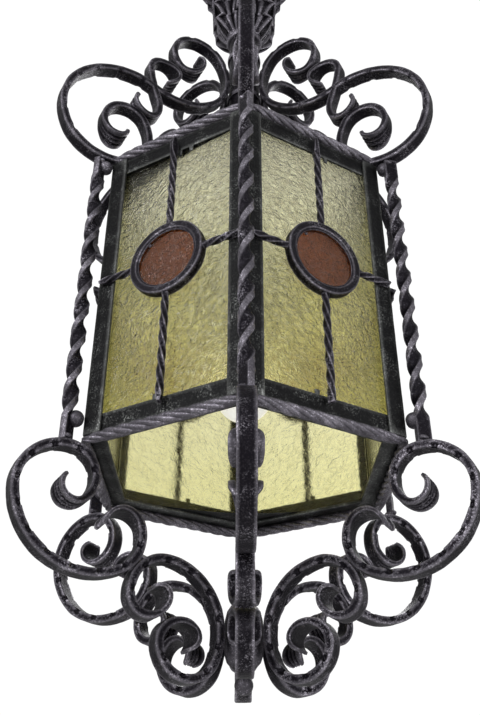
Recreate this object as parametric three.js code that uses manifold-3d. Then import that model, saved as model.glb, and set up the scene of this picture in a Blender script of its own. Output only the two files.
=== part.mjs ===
// Hexagonal wrought-iron ceiling lantern with stained-glass panes, scrolled brackets above and
// below, and a ring and hook that carry it from the ceiling.
// Millimetres, +Z up. The origin is the middle of the ceiling plate's upper face, so the whole
// lantern hangs below z = 0. One corner of the hexagon points along -Y.
import * as THREE from 'three';
import { mergeVertices } from 'three/addons/utils/BufferGeometryUtils.js';
import Module from 'manifold-3d';

const wasm = await Module();
wasm.setup();

// ---------- driving dimensions ----------
const SIDES = 6;
const SECTOR = (2 * Math.PI) / SIDES;
const GAP = 0.3; // clearance where two pieces touch

// Lantern body. Heights are measured from the lower edge of the glass opening.
const OPENING_H = 300; // height of the glass opening
const CORNER_R = 172; // axis to the outer corner of a post
const APOTHEM = CORNER_R * Math.cos(SECTOR / 2);
const ANGLE_LEG = 20; // leg of the angle iron
const ANGLE_T = 3; // its thickness
const POST_LEG = 19;
const GLASS_T = 3;
const ROPE_D = 10.4; // twisted trim along the rails
const ROPE_SET_IN = 2; // its middle, inside the outer faces of the posts
const FLANGE_SHORT = 2; // how much the rail's flange is cut back
const PANE_CLEARANCE = 1; // free play at each upright edge of a pane

// Round red light and its ring, in the middle of each pane
const RING_OUTER_R = 42;
const RING_INNER_R = 34;
const RING_BACK = -2; // depths along the face normal, from the outer face of the posts
const RING_FRONT = 8;
const RED_R = 33.4;
const RED_BACK = 2;
const GLAZING_BAR = 6; // square bar
const GLAZING_TOP = 316;
const GLAZING_BOTTOM = -9;
const GLAZING_REACH = 82; // half length of the crossbar

// Twisted flat bars that stand off the posts on balls
const TWIST_W = 14;
const TWIST_T = 7;
const TWIST_PITCH = 66; // height of one full turn
const TWIST_R = 187.5;
const TWIST_PLAIN = 24; // straight length at each end
const TWIST_FOOT = -28.7;
const TWIST_HEAD = 317;
const BALL_R = 8;
const BALL_HEIGHTS = [-5, 310];

// Scrolled flat bar
const BAR_W = 16;
const BAR_T = 8;
const BEND_STEP = 28; // degrees between the points that draw a bend

// Centre pieces
const HUB_R = 18;
const HUB_TOP = -153;
const HUB_BOTTOM = -203;
const HUB_DOME = 6; // rise of the cone on top
const HUB_CONE = 8; // fall of the cone below
const FINIAL_R = 8.5;
const FINIAL_Z = -223;
const STEM_R = 21;
const STEM_BORE_R = 17;
const STEM_BOTTOM = 468;
const STEM_TOP = 790;
const STEM_FLOOR = 6; // solid bottom of the pipe
const STEM_CAP = 8; // solid top of the pipe
const STEM_CONE = 10; // cone that runs down to the wire tube
const SHOULDER = 6; // chamfer round the cap
const WIRE_TUBE_R = 6.5;
const WIRE_BORE_R = 4.5;
const LEAF_COUNT = 6;
const LEAF_W = 40;
const LEAF_T = 3;
const LEAF_SINK = 2; // depth of the leaf's foot in the collar
const LEAF_OVERLAP = 10; // length of the foot below the collar's top
const COLLAR_R = 27;
const COLLAR_BOTTOM = 636;
const COLLAR_TOP = 654;

// Lamp
const BULB_R = 30;
const BULB_Z = 70; // middle of the globe
const CAP_R = 13.3;
const CAP_BOTTOM = 121;
const CAP_TOP = 148;
const CAP_COLLAR = 8; // glass neck above the globe, below the screw cap
const CAP_LIP = 1.5; // the neck stands this proud of the cap
const CONTACT_H = 4; // height of the cone at the cap's contact
const CONTACT_SET_IN = 6;
const HOLDER_R = 20;
const HOLDER_BORE_R = 14;
const HOLDER_BOTTOM = 124;
const HOLDER_TOP = 186;
const HOLDER_SKIRT = 34; // height of the straight skirt
const HOLDER_CHAMFER = 4;
const HOLDER_NECK = 6; // wall and height of the nipple on top
const WIRE_TUBE_DEPTH = 8; // length of the wire tube inside the nipple

// Suspension: round bar bent to an eye, a ring and a hook
const ROD_R = 5;
const EYE_R = 20;
const EYE_SINK = 2; // height of the welded foot of the eye
const LINK_R = 30;
const HOOK_R = 23;
const PLATE_R = 60;
const PLATE_T = 6;
const BOSS_R = 12;
const BOSS_H = 10; // collar round the hook's shank
const BOSS_FLARE = 4; // how much wider it is at its foot
const SHANK_PLAY = 3; // clearance round the shank inside it
const SHANK_STRAIGHT = 14; // straight length of the shank
const PLATE_EDGE = 4; // chamfer on the plate's rim
const SEAT = 2 * ROD_R + GAP; // distance between the centrelines of two bars that hang together

const EYE_Z = STEM_TOP + EYE_R + EYE_SINK;
const LINK_BOTTOM = EYE_Z + EYE_R - SEAT;
const LINK_Z = LINK_BOTTOM + LINK_R;
const HOOK_BOTTOM = LINK_BOTTOM + 2 * LINK_R - SEAT;
const HOOK_DROP = 84; // ceiling to the lowest point of the hook's centreline
const CEILING_Z = HOOK_BOTTOM + HOOK_DROP;

// ---------- finishes ----------
const iron = () => new THREE.MeshStandardMaterial({ color: 0x2c2a2d, roughness: 0.5, metalness: 0.8 });
const amberGlass = () => new THREE.MeshStandardMaterial({
  color: 0xc8bf6a, roughness: 0.2, metalness: 0, transparent: true, opacity: 0.6,
});
const redGlass = () => new THREE.MeshStandardMaterial({
  color: 0x8a4428, roughness: 0.3, metalness: 0, transparent: true, opacity: 0.85,
});
const opalGlass = () => new THREE.MeshStandardMaterial({ color: 0xf4f2ea, roughness: 0.3, metalness: 0 });
const brownPlastic = () => new THREE.MeshStandardMaterial({ color: 0x241d18, roughness: 0.4, metalness: 0 });

// ---------- helpers ----------
// Reverses a closed mesh whose faces point inwards.
function facingOut(geometry) {
  const position = geometry.getAttribute('position');
  const corners = geometry.index.array;
  const a = new THREE.Vector3();
  const b = new THREE.Vector3();
  const c = new THREE.Vector3();
  let volume = 0;
  for (let i = 0; i < corners.length; i += 3) {
    a.fromBufferAttribute(position, corners[i]);
    b.fromBufferAttribute(position, corners[i + 1]);
    c.fromBufferAttribute(position, corners[i + 2]);
    volume += a.dot(b.cross(c));
  }
  if (volume < 0) corners.reverse();
  return geometry;
}

// The closed mesh alone: positions and faces, with shared corners merged.
function bare(geometry) {
  const copy = geometry.clone();
  copy.deleteAttribute('normal');
  copy.deleteAttribute('uv');
  return facingOut(mergeVertices(copy, 1e-4));
}

function toSolid(geometry) {
  const mesh = bare(geometry);
  return new wasm.Manifold(new wasm.Mesh({
    numProp: 3,
    vertProperties: new Float32Array(mesh.getAttribute('position').array),
    triVerts: new Uint32Array(mesh.index.array),
  }));
}

function toGeometry(solid) {
  const mesh = solid.getMesh();
  const geometry = new THREE.BufferGeometry();
  geometry.setAttribute('position', new THREE.BufferAttribute(mesh.vertProperties, 3));
  geometry.setIndex(new THREE.BufferAttribute(mesh.triVerts, 1));
  return geometry;
}

function joined(...geometries) {
  return toGeometry(geometries.map(toSolid).reduce((whole, piece) => whole.add(piece)));
}

// A profile of [radius, height] points turned about the vertical axis.
function turned(profile, segments, startAngle = 0) {
  const points = profile.map(([r, z]) => new THREE.Vector2(r, z));
  return new THREE.LatheGeometry(points, segments, startAngle).rotateX(Math.PI / 2);
}

// A hexagonal ring: its profile is given as [distance from the axis to the side, height].
function hexRing(profile) {
  const stretched = profile.map(([a, z]) => [a / Math.cos(SECTOR / 2), z]);
  return bare(turned([...stretched, stretched[0]], SIDES));
}

// Tangent arcs [radius, turn in degrees] that make one scroll, each as the points and headings
// along it. Positive turns bend to the left.
function chain([x, y], headingDeg, arcs) {
  let heading = THREE.MathUtils.degToRad(headingDeg);
  const places = [{ x, y, heading }];
  for (const [radius, turnDeg] of arcs) {
    const turn = THREE.MathUtils.degToRad(turnDeg);
    const reach = radius * Math.sign(turn);
    const steps = Math.ceil(Math.abs(turnDeg) / BEND_STEP);
    const cx = x - reach * Math.sin(heading);
    const cy = y + reach * Math.cos(heading);
    for (let i = 1; i <= steps; i++) {
      const h = heading + (turn * i) / steps;
      x = cx + reach * Math.sin(h);
      y = cy - reach * Math.cos(h);
      places.push({ x, y, heading: h });
    }
    heading += turn;
  }
  return places;
}

// Flat bar bent on tangent arcs in the XZ plane, its width across Y.
function scrolledBar(start, heading, arcs, width = BAR_W, thickness = BAR_T) {
  const places = chain(start, heading, arcs);
  const beside = (p, d) => new THREE.Vector2(p.x - d * Math.sin(p.heading), p.y + d * Math.cos(p.heading));
  const shape = new THREE.Shape([
    ...places.map((p) => beside(p, -thickness / 2)),
    ...places.reverse().map((p) => beside(p, thickness / 2)),
  ]);
  const bar = new THREE.ExtrudeGeometry(shape, { depth: width, bevelEnabled: false });
  return bar.translate(0, 0, -width / 2).rotateX(Math.PI / 2);
}

const lantern = new THREE.Group();
lantern.position.z = -CEILING_Z;

function place(name, geometry, material, angle = 0) {
  const mesh = new THREE.Mesh(geometry, material);
  mesh.name = name;
  mesh.rotation.z = angle;
  lantern.add(mesh);
}

// Corner 1 is the one at -Y; sides are numbered from the side left of it.
const cornerAngle = (i) => -Math.PI / 2 + i * SECTOR;
const sideAngle = (i) => cornerAngle(i) - SECTOR / 2;

function placeAtCorners(name, make, material) {
  for (let i = 0; i < SIDES; i++) {
    place(`${name}_${i + 1}`, make(), material(), cornerAngle(i));
  }
}

function placeOnSides(name, make, material) {
  for (let i = 0; i < SIDES; i++) {
    place(`${name}_${i + 1}`, make(), material(), sideAngle(i));
  }
}

// ---------- frame ----------
const RAIL_FACE = APOTHEM - ANGLE_T - GAP;
const FLANGE_EDGE = APOTHEM - ANGLE_T - ANGLE_LEG + FLANGE_SHORT;

// Angle-iron rail: the upright leg runs from the glass edge to the flange.
function rail(glassEdge, up) {
  const outside = glassEdge + up * ANGLE_LEG;
  const inside = outside - up * ANGLE_T;
  return hexRing([
    [RAIL_FACE, glassEdge],
    [RAIL_FACE, outside],
    [FLANGE_EDGE, outside],
    [FLANGE_EDGE, inside],
    [RAIL_FACE - ANGLE_T, inside],
    [RAIL_FACE - ANGLE_T, glassEdge],
  ]);
}

// Twisted trim, laid along the outer edge of a rail.
function rope(z) {
  const facets = 8;
  const profile = [];
  for (let i = 0; i < facets; i++) {
    const a = (i / facets) * 2 * Math.PI;
    const out = APOTHEM - ROPE_SET_IN + (ROPE_D / 2) * Math.cos(a);
    profile.push([out, z + (ROPE_D / 2) * Math.sin(a)]);
  }
  return hexRing(profile);
}

// Post bent to the hexagon's 120 degree corner.
function cornerPost() {
  const along = new THREE.Vector2(-Math.sin(SECTOR / 2), Math.cos(SECTOR / 2));
  const normal = new THREE.Vector2(Math.cos(SECTOR / 2), Math.sin(SECTOR / 2));
  const outer = new THREE.Vector2(CORNER_R, 0).addScaledVector(along, POST_LEG);
  const inner = outer.clone().addScaledVector(normal, -ANGLE_T);
  const shape = new THREE.Shape([
    new THREE.Vector2(CORNER_R, 0),
    outer,
    inner,
    new THREE.Vector2(CORNER_R - ANGLE_T / Math.cos(SECTOR / 2), 0),
    new THREE.Vector2(inner.x, -inner.y),
    new THREE.Vector2(outer.x, -outer.y),
  ]);
  const height = OPENING_H + 2 * ANGLE_LEG;
  return new THREE.ExtrudeGeometry(shape, { depth: height, bevelEnabled: false }).translate(0, 0, -ANGLE_LEG);
}

place('bottom_rail', rail(0, -1), iron());
place('top_rail', rail(OPENING_H, 1), iron());
place('bottom_rope_trim', rope(-ANGLE_LEG - GAP - ROPE_D / 2), iron());
place('top_rope_trim', rope(OPENING_H + ANGLE_LEG + GAP + ROPE_D / 2), iron());
placeAtCorners('corner_post', cornerPost, iron);

// ---------- panes, red lights and their rings ----------
function pane() {
  const face = RAIL_FACE - ANGLE_T - GAP;
  const width = 2 * ((face - GLASS_T) * Math.tan(SECTOR / 2) - PANE_CLEARANCE);
  const height = OPENING_H + 2 * (ANGLE_LEG - ANGLE_T - GAP);
  return new THREE.BoxGeometry(GLASS_T, width, height).translate(face - GLASS_T / 2, 0, OPENING_H / 2);
}

function redLight() {
  return new THREE.CylinderGeometry(RED_R, RED_R, GLASS_T, 20)
    .rotateZ(Math.PI / 2)
    .translate(APOTHEM + RED_BACK + GLASS_T / 2, 0, OPENING_H / 2);
}

// The ring with the four bars welded to it.
function glazingCross() {
  const outline = new THREE.Shape().absarc(0, 0, RING_OUTER_R, 0, 2 * Math.PI);
  outline.holes.push(new THREE.Path().absarc(0, 0, RING_INNER_R, 0, 2 * Math.PI, true));
  const ring = new THREE.ExtrudeGeometry(outline, {
    depth: RING_FRONT - RING_BACK, bevelEnabled: false, curveSegments: 10,
  }).rotateY(Math.PI / 2).translate(APOTHEM + RING_BACK, 0, OPENING_H / 2);
  const depth = APOTHEM + GAP + GLAZING_BAR / 2;
  const inside = (RING_INNER_R + RING_OUTER_R) / 2;
  const middle = OPENING_H / 2;
  const upright = (from, to) => new THREE.BoxGeometry(GLAZING_BAR, GLAZING_BAR, to - from)
    .translate(depth, 0, (from + to) / 2);
  const arm = (from, to) => new THREE.BoxGeometry(GLAZING_BAR, to - from, GLAZING_BAR)
    .translate(depth, (from + to) / 2, middle);
  return joined(
    ring,
    upright(middle + inside, GLAZING_TOP),
    upright(GLAZING_BOTTOM, middle - inside),
    arm(inside, GLAZING_REACH),
    arm(-GLAZING_REACH, -inside),
  );
}

placeOnSides('glass_pane', pane, amberGlass);
placeOnSides('red_light', redLight, redGlass);
placeOnSides('ring_and_glazing_bars', glazingCross, iron);

// ---------- twisted corner bars ----------
function twistedBar() {
  const length = TWIST_HEAD - TWIST_FOOT;
  const bar = new THREE.BoxGeometry(TWIST_T, TWIST_W, length, 1, 1, 36);
  const position = bar.getAttribute('position');
  const twisted = length - 2 * TWIST_PLAIN;
  const turns = Math.round((2 * twisted) / TWIST_PITCH) / 2; // whole half turns
  for (let i = 0; i < position.count; i++) {
    const along = THREE.MathUtils.clamp((position.getZ(i) + twisted / 2) / twisted, 0, 1);
    const a = along * turns * 2 * Math.PI;
    const x = position.getX(i);
    const y = position.getY(i);
    position.setX(i, x * Math.cos(a) - y * Math.sin(a));
    position.setY(i, x * Math.sin(a) + y * Math.cos(a));
  }
  bar.translate(TWIST_R, 0, (TWIST_HEAD + TWIST_FOOT) / 2);
  const balls = BALL_HEIGHTS.map((z) => new THREE.SphereGeometry(BALL_R, 8, 5)
    .rotateX(Math.PI / 2)
    .translate(CORNER_R + BALL_R + GAP, 0, z));
  return joined(bar, ...balls);
}

placeAtCorners('twisted_corner_bar', twistedBar, iron);

// ---------- scrolls ----------
// Large C-scroll under each corner; both ends curl in.
function lowerOuterScroll() {
  return scrolledBar([184, -62], -38, [
    [13.5, -179], [28, -143], [44, -96], [71, -109], [34, -78], [19.5, -160],
  ]);
}

// Smaller C-scroll that leads in to the hub and opens outwards.
function lowerInnerScroll() {
  return scrolledBar([81, -158], -84, [
    [17.5, 169], [33, 102], [59, 107], [28.5, 154], [18.5, 142],
  ]);
}

// Main upper scroll, the small S-scroll that crosses it and the curl that rises from the rail,
// welded together.
function upperScroll() {
  const main = scrolledBar([176.3, 322.5], -6, [
    [55, 68], [83, 111], [68, 31], [73, -145], [37, -182], [19, -196],
  ]);
  const crossing = scrolledBar([117, 481.5], 171, [
    [19, -270], [235, -12], [40, 38], [16, 210],
  ]);
  const railCurl = scrolledBar([152, 324.5], 136, [
    [63, -75], [25.5, -111], [34, -73], [12.5, -160],
  ]);
  return joined(main, crossing, railCurl);
}

placeAtCorners('lower_outer_scroll', lowerOuterScroll, iron);
placeAtCorners('lower_inner_scroll', lowerInnerScroll, iron);
placeAtCorners('upper_scroll', upperScroll, iron);

// ---------- hub, stem and leaf crown ----------
function arcProfile(radius, z, fromDeg, toDeg, steps) {
  const points = [];
  for (let i = 0; i <= steps; i++) {
    const a = THREE.MathUtils.degToRad(fromDeg + ((toDeg - fromDeg) * i) / steps);
    points.push([radius * Math.cos(a), z + radius * Math.sin(a)]);
  }
  return points;
}

function hub() {
  const ball = arcProfile(FINIAL_R, FINIAL_Z, -90, 60, 7);
  ball[0][0] = 0;
  return bare(turned([
    ...ball,
    [ball.at(-1)[0], HUB_BOTTOM - HUB_CONE],
    [HUB_R, HUB_BOTTOM],
    [HUB_R, HUB_TOP],
    [0, HUB_TOP + HUB_DOME],
  ], 14));
}

// Pipe that the upper scrolls are welded to, with the wire tube below it and the eye on top.
function stem() {
  const pipe = turned([
    [0, STEM_TOP - STEM_CAP],
    [STEM_BORE_R, STEM_TOP - STEM_CAP],
    [STEM_BORE_R, STEM_BOTTOM + STEM_FLOOR],
    [WIRE_BORE_R, STEM_BOTTOM + STEM_FLOOR],
    [WIRE_BORE_R, HOLDER_TOP - WIRE_TUBE_DEPTH],
    [WIRE_TUBE_R, HOLDER_TOP - WIRE_TUBE_DEPTH],
    [WIRE_TUBE_R, STEM_BOTTOM - STEM_CONE],
    [STEM_R, STEM_BOTTOM],
    [STEM_R, STEM_TOP - SHOULDER],
    [ROD_R + EYE_SINK, STEM_TOP + EYE_SINK],
    [0, STEM_TOP + EYE_SINK],
  ], 16);
  const eye = new THREE.TorusGeometry(EYE_R, ROD_R, 8, 16).rotateX(Math.PI / 2).translate(0, 0, EYE_Z);
  return joined(pipe, eye);
}

function leafCrown() {
  const bore = STEM_R + GAP;
  const foot = [COLLAR_R - LEAF_SINK, COLLAR_TOP - LEAF_OVERLAP];
  const collar = turned([
    [bore, COLLAR_BOTTOM],
    [COLLAR_R, COLLAR_BOTTOM],
    [COLLAR_R, COLLAR_TOP],
    [bore, COLLAR_TOP],
    [bore, COLLAR_BOTTOM],
  ], 16);
  const leaves = [];
  for (let i = 0; i < LEAF_COUNT; i++) {
    const leaf = scrolledBar(foot, 50, [[70, 40], [300, -8], [35, -75]], LEAF_W, LEAF_T);
    leaves.push(leaf.rotateZ(sideAngle(i)));
  }
  return joined(collar, ...leaves);
}

place('lower_hub', hub(), iron());
place('stem', stem(), iron());
place('leaf_crown', leafCrown(), iron());

// ---------- lamp ----------
function lampholder() {
  return bare(turned([
    [HOLDER_BORE_R, HOLDER_BOTTOM],
    [HOLDER_R, HOLDER_BOTTOM],
    [HOLDER_R, HOLDER_BOTTOM + HOLDER_SKIRT],
    [HOLDER_R - HOLDER_CHAMFER, HOLDER_BOTTOM + HOLDER_SKIRT + HOLDER_CHAMFER],
    [WIRE_TUBE_R + HOLDER_NECK, HOLDER_TOP - HOLDER_NECK],
    [WIRE_TUBE_R + HOLDER_CHAMFER, HOLDER_TOP],
    [WIRE_TUBE_R + GAP, HOLDER_TOP],
    [WIRE_TUBE_R + GAP, CAP_TOP + 2 * HOLDER_CHAMFER],
    [HOLDER_BORE_R, CAP_TOP + HOLDER_CHAMFER],
    [HOLDER_BORE_R, HOLDER_BOTTOM],
  ], 16));
}

function bulb() {
  const globe = arcProfile(BULB_R, BULB_Z, -90, 40, 8);
  globe[0][0] = 0;
  return bare(turned([
    ...globe,
    [CAP_R + CAP_LIP, CAP_BOTTOM - CAP_COLLAR],
    [CAP_R, CAP_BOTTOM],
    [CAP_R, CAP_TOP - CONTACT_H],
    [CAP_R - CONTACT_SET_IN, CAP_TOP],
    [0, CAP_TOP],
  ], 16));
}

place('lampholder', lampholder(), brownPlastic());
place('bulb', bulb(), opalGlass());

// ---------- suspension ----------
function hangingRing() {
  return new THREE.TorusGeometry(LINK_R, ROD_R, 8, 20).rotateY(Math.PI / 2).translate(0, 0, LINK_Z);
}

// The hook's centreline leaves the plate, swings out and comes round under the axis.
function ceilingHook() {
  const lead = 40; // degrees below level where the small bend meets the large one
  const rad = THREE.MathUtils.degToRad(lead);
  const centreZ = HOOK_BOTTOM + HOOK_R;
  const joinX = HOOK_R * Math.sin(rad);
  const joinZ = centreZ + HOOK_R * Math.cos(rad);
  const swing = 0.35 * joinX; // the first bend, on the way out
  const swingZ = joinZ + 9;
  const wrap = THREE.MathUtils.degToRad(265);
  const shankEnd = CEILING_Z - PLATE_T - GAP;
  const points = [
    new THREE.Vector3(0, 0, shankEnd),
    new THREE.Vector3(0, 0, shankEnd - SHANK_STRAIGHT),
    new THREE.Vector3(swing, 0, swingZ),
  ];
  const steps = 9;
  for (let i = 0; i <= steps; i++) {
    const a = Math.PI / 2 - rad - (i / steps) * wrap;
    points.push(new THREE.Vector3(HOOK_R * Math.cos(a), 0, centreZ + HOOK_R * Math.sin(a)));
  }
  const section = new THREE.Shape().absarc(0, 0, ROD_R, 0, 2 * Math.PI);
  return new THREE.ExtrudeGeometry(section, {
    extrudePath: new THREE.CatmullRomCurve3(points), steps: 22, curveSegments: 4, bevelEnabled: false,
  });
}

// Plate with a collar round the hook's shank.
function ceilingPlate() {
  const under = CEILING_Z - PLATE_T;
  return bare(turned([
    [0, CEILING_Z],
    [PLATE_R, CEILING_Z],
    [PLATE_R, under + PLATE_EDGE / 2],
    [PLATE_R - PLATE_EDGE, under],
    [BOSS_R + BOSS_FLARE, under],
    [BOSS_R, under - BOSS_H],
    [ROD_R + SHANK_PLAY, under - BOSS_H],
    [ROD_R + SHANK_PLAY, under],
    [0, under],
  ], 24));
}

place('ceiling_plate', ceilingPlate(), iron());
place('ceiling_hook', ceilingHook(), iron());
place('hanging_ring', hangingRing(), iron());

export default lantern;
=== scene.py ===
"""Hexagonal wrought-iron hanging lantern with stained-glass panes, scrolled brackets, a leaf crown,
and a ring and hook that carry it. The lantern's own pieces are forged, bent, glazed and finished here."""

import math

import bmesh
import bpy
from mathutils import Matrix, Vector


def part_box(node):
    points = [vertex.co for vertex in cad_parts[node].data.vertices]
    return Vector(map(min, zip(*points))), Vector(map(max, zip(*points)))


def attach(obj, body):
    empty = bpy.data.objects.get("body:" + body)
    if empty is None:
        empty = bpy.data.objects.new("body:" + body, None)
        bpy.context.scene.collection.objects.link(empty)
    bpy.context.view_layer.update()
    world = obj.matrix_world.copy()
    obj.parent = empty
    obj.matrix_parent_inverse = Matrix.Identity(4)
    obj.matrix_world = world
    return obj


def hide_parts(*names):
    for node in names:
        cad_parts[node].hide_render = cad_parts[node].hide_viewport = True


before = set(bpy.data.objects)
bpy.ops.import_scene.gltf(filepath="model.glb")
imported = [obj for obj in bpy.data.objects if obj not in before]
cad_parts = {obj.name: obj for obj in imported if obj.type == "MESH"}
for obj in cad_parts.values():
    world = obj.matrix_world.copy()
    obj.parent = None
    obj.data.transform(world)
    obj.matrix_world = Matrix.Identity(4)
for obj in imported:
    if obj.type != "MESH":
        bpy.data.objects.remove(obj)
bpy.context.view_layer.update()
bpy.ops.object.select_all(action="DESELECT")

# ---------- driving dimensions, in metres ----------
MM = 0.001
SIDES = 6
SECTOR = 2 * math.pi / SIDES
OPENING_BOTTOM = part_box("bottom_rail")[1].z
OPENING_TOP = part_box("top_rail")[0].z
CORNER_R = -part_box("corner_post_1")[0].y
APOTHEM = CORNER_R * math.cos(SECTOR / 2)
SIDE_LENGTH = CORNER_R

BAR_WIDTH = 16 * MM
BAR_THICKNESS = 8 * MM
BAR_EDGE = 1.3 * MM
BAR_STEP = 2.5 * MM
RING_GAP = 0.1 * MM  # vertices nearer than this along a bar belong to one ring
TAIL_WIDTH = 29 * MM
TAIL_THICKNESS = 4.4 * MM
TAIL_LENGTH = 60 * MM
TAIL_ROUNDING = 13 * MM
GROOVE_DEPTH = 1.9 * MM
NICK_SPACING = 10  # bar steps between two chisel nicks
NICK_DEPTH = 2.3 * MM

TWIST_WIDTH = 14 * MM
TWIST_THICKNESS = 7 * MM
TWIST_PITCH = 66 * MM
TWIST_PLAIN = 24 * MM
TWIST_R = 187.5 * MM
BALL_R = 8 * MM
BALL_HEIGHTS = (-5, 310)

GLAZING_BAR = 6 * MM
GLAZING_PITCH = 64 * MM
RING_OUTER_R = 42 * MM
RING_INNER_R = 34 * MM
RING_BACK = -2 * MM
RING_FRONT = 8 * MM
RED_R = 33.4 * MM
GLASS_THICKNESS = 3 * MM
GLASS_SET_BACK = 6.9 * MM  # from the flat between two corners back to the face of a pane
RED_PROUD = 4.3 * MM  # from that flat forward to the face of a red light
CROSS_HEIGHT = 150  # middle of the ring and the round light
ROPE_R = 5.7 * MM
ROPE_STRANDS = 4
ROPE_PITCH = 62 * MM

LEAF_COUNT = 6
LEAF_SHEET = 2.2 * MM
LEAF_ARCS = [(70, 36), (300, -7), (35, -75)]
HOOK_ARCS = [(41.4, 50), (23, -265)]
ROD_R = 5 * MM
RING_R = 30 * MM
EYE_R = 20 * MM
MOST_CUTS = 90  # above this many steps a bar is divided in two goes


def height(mm):
    """Height in the row frame of a point given in millimetres above the glass opening's lower edge."""
    return OPENING_BOTTOM + mm * MM


def corner_angle(i):
    return -math.pi / 2 + i * SECTOR


def side_angle(i):
    return corner_angle(i) - SECTOR / 2


# ---------- working in edit mode ----------
def edit():
    bpy.ops.object.mode_set(mode="EDIT")


def done():
    bpy.ops.object.mode_set(mode="OBJECT")


def only(obj):
    """Makes obj the one selected and active object."""
    bpy.ops.object.select_all(action="DESELECT")
    obj.select_set(True)
    bpy.context.view_layer.objects.active = obj


def choose(kind, test):
    """In edit mode, selects the VERT, EDGE or FACE parts that pass the test, and nothing else."""
    bpy.ops.mesh.select_mode(type=kind)
    bpy.ops.mesh.select_all(action="DESELECT")
    work = bmesh.from_edit_mesh(bpy.context.object.data)
    parts = {"VERT": work.verts, "EDGE": work.edges, "FACE": work.faces}[kind]
    for part in parts:
        if test(part):
            part.select = True
    work.select_flush_mode()
    bmesh.update_edit_mesh(bpy.context.object.data)


def stations(bar):
    """The X of each ring of vertices along a bar, in edit mode."""
    places = []
    for x in sorted(v.co.x for v in bmesh.from_edit_mesh(bar.data).verts):
        if not places or x - places[-1] > RING_GAP:
            places.append(x)
    return places


def choose_ring(x):
    """In edit mode, selects the ring of vertices at x."""
    choose("VERT", lambda v: abs(v.co.x - x) < RING_GAP)


def runs_along(axis):
    """A test for edges that run along X, Y or Z (0, 1 or 2)."""
    def test(edge):
        way = (edge.verts[0].co - edge.verts[1].co).normalized()
        return abs(way[axis]) > 0.99
    return test


def outward():
    """Merges doubles and turns all faces outwards."""
    bpy.ops.mesh.select_all(action="SELECT")
    bpy.ops.mesh.remove_doubles(threshold=0.00001)
    bpy.ops.mesh.normals_make_consistent(inside=False)


def placed(obj, name):
    """Names a finished piece and puts its place into its mesh."""
    only(obj)
    bpy.ops.object.transform_apply(location=True, rotation=True, scale=True)
    obj.name = name
    obj.data.name = name
    return obj


def sized(scale, name):
    """Sizes the primitive that was just added, along its own axes, and puts its place into its mesh."""
    bpy.context.object.scale = scale
    return placed(bpy.context.object, name)


def modified(obj, kind, **settings):
    """Adds a modifier with these settings and applies it."""
    only(obj)
    modifier = obj.modifiers.new(kind, kind)
    for key, value in settings.items():
        setattr(modifier, key, value)
    bpy.ops.object.modifier_apply(modifier=modifier.name)
    return obj


def smooth(obj, degrees=40):
    only(obj)
    bpy.ops.object.shade_smooth_by_angle(angle=math.radians(degrees))
    return obj


def joined(objects, name):
    bpy.ops.object.select_all(action="DESELECT")
    for obj in objects:
        obj.select_set(True)
    bpy.context.view_layer.objects.active = objects[0]
    bpy.ops.object.join()
    return placed(objects[0], name)


def turned_copy(obj, name, angle):
    """A copy with its own mesh, turned about the lantern's axis."""
    copy = obj.copy()
    copy.data = obj.data.copy()
    copy.name = name
    copy.data.name = name
    copy.data.transform(Matrix.Rotation(angle, 4, "Z"))
    bpy.context.collection.objects.link(copy)
    return copy


def round_the_lantern(model, name, node, angle_of, material, slot="wrought_iron", finish=None):
    """Six copies of a piece modelled along +X, each standing for its own node where there is one."""
    copies = []
    for i in range(SIDES):
        copy = turned_copy(model, f"{name}_{i + 1}", angle_of(i))
        if finish:
            finish(copy)
        fit_out(copy, material, "lantern", slot, f"{node}_{i + 1}" if node else None)
        copies.append(copy)
    bpy.data.objects.remove(model)
    return copies


def fit_out(obj, material, body, slot, *nodes):
    """Gives a piece its finish and the body it rides on, and hides the parts of the nodes it stands for."""
    obj.data.materials.clear()
    obj.data.materials.append(material)
    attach(obj, body)
    stands_for = [node for node in nodes if node]
    if stands_for:
        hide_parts(*stands_for)
    return obj


# ---------- shaping steps that several pieces share ----------
FORGED_MARKS = 0.9 * MM
ROLLED_MARKS = 0.35 * MM
HAMMER_MARKS = bpy.data.textures.new("hammer_marks", "CLOUDS")
HAMMER_MARKS.noise_scale = 0.016
HAMMER_MARKS.noise_depth = 2


def hammered(obj, depth=FORGED_MARKS):
    """Leaves the uneven surface of hand forging."""
    return modified(obj, "DISPLACE", texture=HAMMER_MARKS, texture_coords="LOCAL", strength=depth,
                    mid_level=0.5)


def straight_bar(length, across, depth, edge, step, columns=1, rows=1):
    """A flat bar along +X, across along Z and depth along Y, with rounded long edges.
    Its wide faces have so many columns and its narrow faces so many rows."""
    bpy.ops.mesh.primitive_cube_add(size=1, location=(length / 2, 0, 0))
    bar = sized((length, depth, across), "bar")
    edit()
    choose("EDGE", runs_along(0))
    bpy.ops.mesh.bevel(offset=edge, segments=2, affect="EDGES")
    steps = round(length / step)
    choose("EDGE", runs_along(0))
    if steps > MOST_CUTS:
        bpy.ops.mesh.subdivide(number_cuts=1)
        choose("EDGE", runs_along(0))
        steps = round(steps / 2)
    bpy.ops.mesh.subdivide(number_cuts=max(1, steps - 1))
    for count, axis, size in ((columns, 2, across), (rows, 1, depth)):
        if count > 1:
            choose("EDGE", lambda e: runs_along(axis)(e) and e.calc_length() > size / 2)
            bpy.ops.mesh.subdivide(number_cuts=count - 1)
    done()
    return bar


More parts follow.
